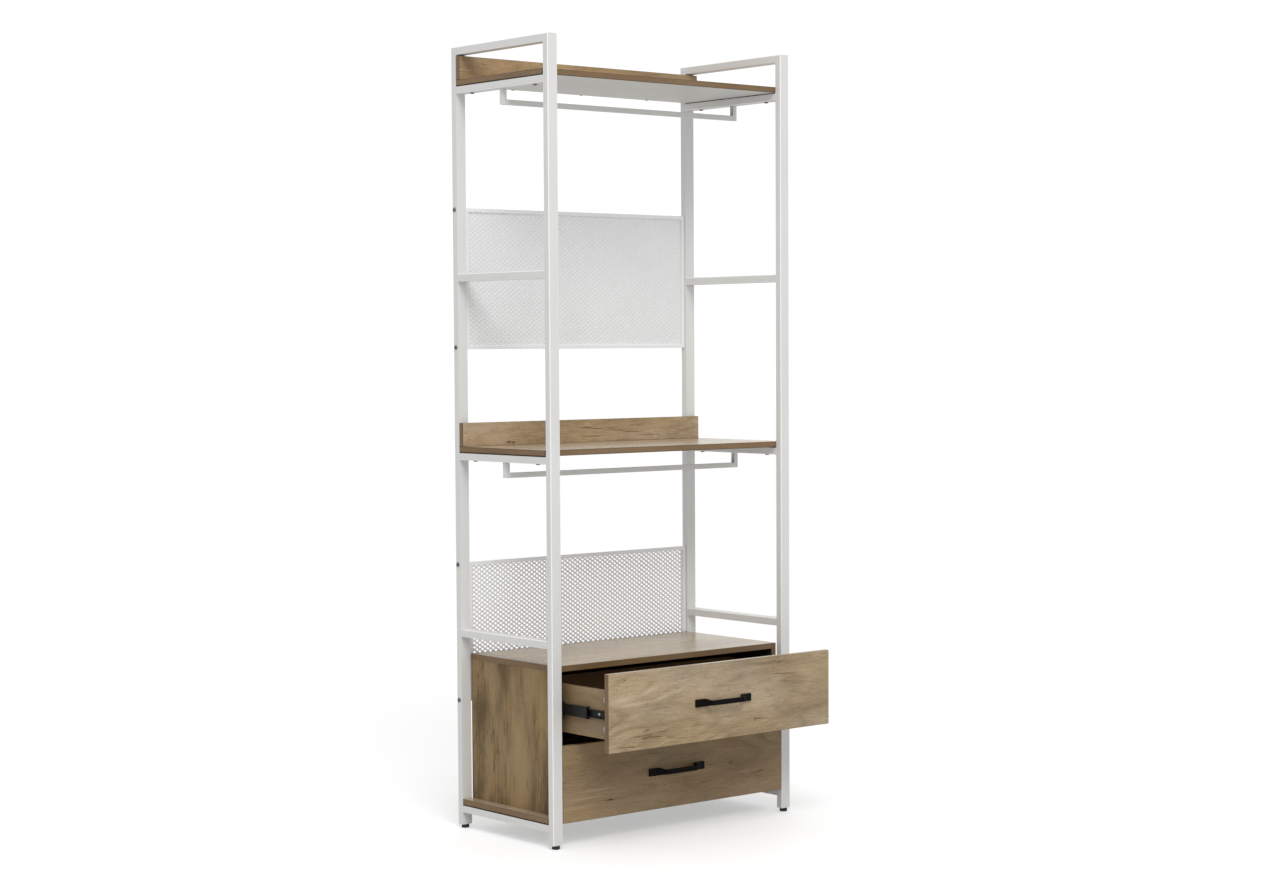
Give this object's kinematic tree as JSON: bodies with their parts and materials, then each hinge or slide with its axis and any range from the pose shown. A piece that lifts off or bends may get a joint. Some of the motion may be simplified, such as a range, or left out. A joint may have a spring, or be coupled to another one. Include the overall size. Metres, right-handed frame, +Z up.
{
  "type": "open frame wardrobe",
  "caption": "Free-standing open wardrobe: white tube sides carry oak-look shelves, hanging bars, mesh rear panels and a cabinet with drawers on telescopic slides.",
  "frame": {"origin": "on the floor, in the middle of the width, midway between the open upper drawer's handle and the rear of the posts", "axes": "+X to the right seen from the front, +Y to the rear, +Z up"},
  "size_m": [0.806, 0.605, 2],
  "materials": {
    "frame_white": "satin powder coat",
    "mesh_white": "satin powder coat",
    "oak_board": "matt oak-look laminate",
    "backing_board": "matt",
    "black_metal": "satin black",
    "black_plastic": "matt",
    "zinc_steel": "zinc plated"
  },
  "bodies": {
    "frame": {"left_front_post": "frame_white", "left_rear_post": "frame_white", "left_bottom_rail": "frame_white", "left_lower_rail": "frame_white", "left_middle_shelf_rail": "frame_white", "left_middle_rail": "frame_white", "left_top_shelf_rail": "frame_white", "left_top_rail": "frame_white", "right_front_post": "frame_white", "right_rear_post": "frame_white", "right_bottom_rail": "frame_white", "right_lower_rail": "frame_white", "right_middle_shelf_rail": "frame_white", "right_middle_rail": "frame_white", "right_top_shelf_rail": "frame_white", "right_top_rail": "frame_white", "top_shelf": "oak_board", "top_shelf_lip": "oak_board", "top_hanging_bar": "frame_white", "middle_shelf": "oak_board", "middle_shelf_lip": "oak_board", "middle_hanging_bar": "frame_white", "upper_mesh_frame": "frame_white", "upper_mesh_sheet": "mesh_white", "lower_mesh_frame": "frame_white", "lower_mesh_sheet": "mesh_white", "mesh_panel_bolts": "zinc_steel", "cabinet_bottom": "oak_board", "cabinet_top": "oak_board", "cabinet_back": "backing_board", "cabinet_left_side": "oak_board", "cabinet_right_side": "oak_board", "cabinet_dowels": "oak_board", "slide_outer_members": "black_metal", "rail_bolts": "zinc_steel", "board_screws": "zinc_steel"},
    "left_front_foot_body": {"left_front_foot": "black_plastic"},
    "left_rear_foot_body": {"left_rear_foot": "black_plastic"},
    "right_front_foot_body": {"right_front_foot": "black_plastic"},
    "right_rear_foot_body": {"right_rear_foot": "black_plastic"},
    "upper_drawer": {"upper_drawer_bottom": "backing_board", "upper_drawer_cam_locks": "zinc_steel", "upper_drawer_front": "oak_board", "upper_drawer_handle": "black_metal", "upper_drawer_left_side": "oak_board", "upper_drawer_right_side": "oak_board", "upper_drawer_back": "oak_board", "upper_drawer_screws": "zinc_steel", "upper_slide_inner_members": "black_metal"},
    "upper_slide_middles": {"upper_slide_middle_members": "black_metal"},
    "lower_drawer": {"lower_drawer_bottom": "backing_board", "lower_drawer_cam_locks": "zinc_steel", "lower_drawer_front": "oak_board", "lower_drawer_handle": "black_metal", "lower_drawer_left_side": "oak_board", "lower_drawer_right_side": "oak_board", "lower_drawer_back": "oak_board", "lower_drawer_screws": "zinc_steel", "lower_slide_inner_members": "black_metal"},
    "lower_slide_middles": {"lower_slide_middle_members": "black_metal"}
  },
  "joints": [
    {"name": "upper_drawer_slide", "type": "slide", "parent": "frame", "child": "upper_drawer", "axis": [0, -1, 0], "range_m": [-0.18, 0.15]},
    {"name": "upper_middle_slide", "type": "slide", "parent": "frame", "child": "upper_slide_middles", "axis": [0, -1, 0], "range_m": [-0.09, 0.075]},
    {"name": "lower_drawer_slide", "type": "slide", "parent": "frame", "child": "lower_drawer", "axis": [0, -1, 0], "range_m": [0, 0.33]},
    {"name": "lower_middle_slide", "type": "slide", "parent": "frame", "child": "lower_slide_middles", "axis": [0, -1, 0], "range_m": [0, 0.165]},
    {"name": "left_front_foot_screw", "type": "slide", "parent": "frame", "child": "left_front_foot_body", "axis": [0, 0, 1], "range_m": [-0.01, 0]},
    {"name": "left_rear_foot_screw", "type": "slide", "parent": "frame", "child": "left_rear_foot_body", "axis": [0, 0, 1], "range_m": [-0.01, 0]},
    {"name": "right_front_foot_screw", "type": "slide", "parent": "frame", "child": "right_front_foot_body", "axis": [0, 0, 1], "range_m": [-0.01, 0]},
    {"name": "right_rear_foot_screw", "type": "slide", "parent": "frame", "child": "right_rear_foot_body", "axis": [0, 0, 1], "range_m": [-0.01, 0]}
  ],
  "couplings": [
    {"joint": "upper_middle_slide", "follows": "upper_drawer_slide", "ratio": 0.5},
    {"joint": "lower_middle_slide", "follows": "lower_drawer_slide", "ratio": 0.5}
  ]
}
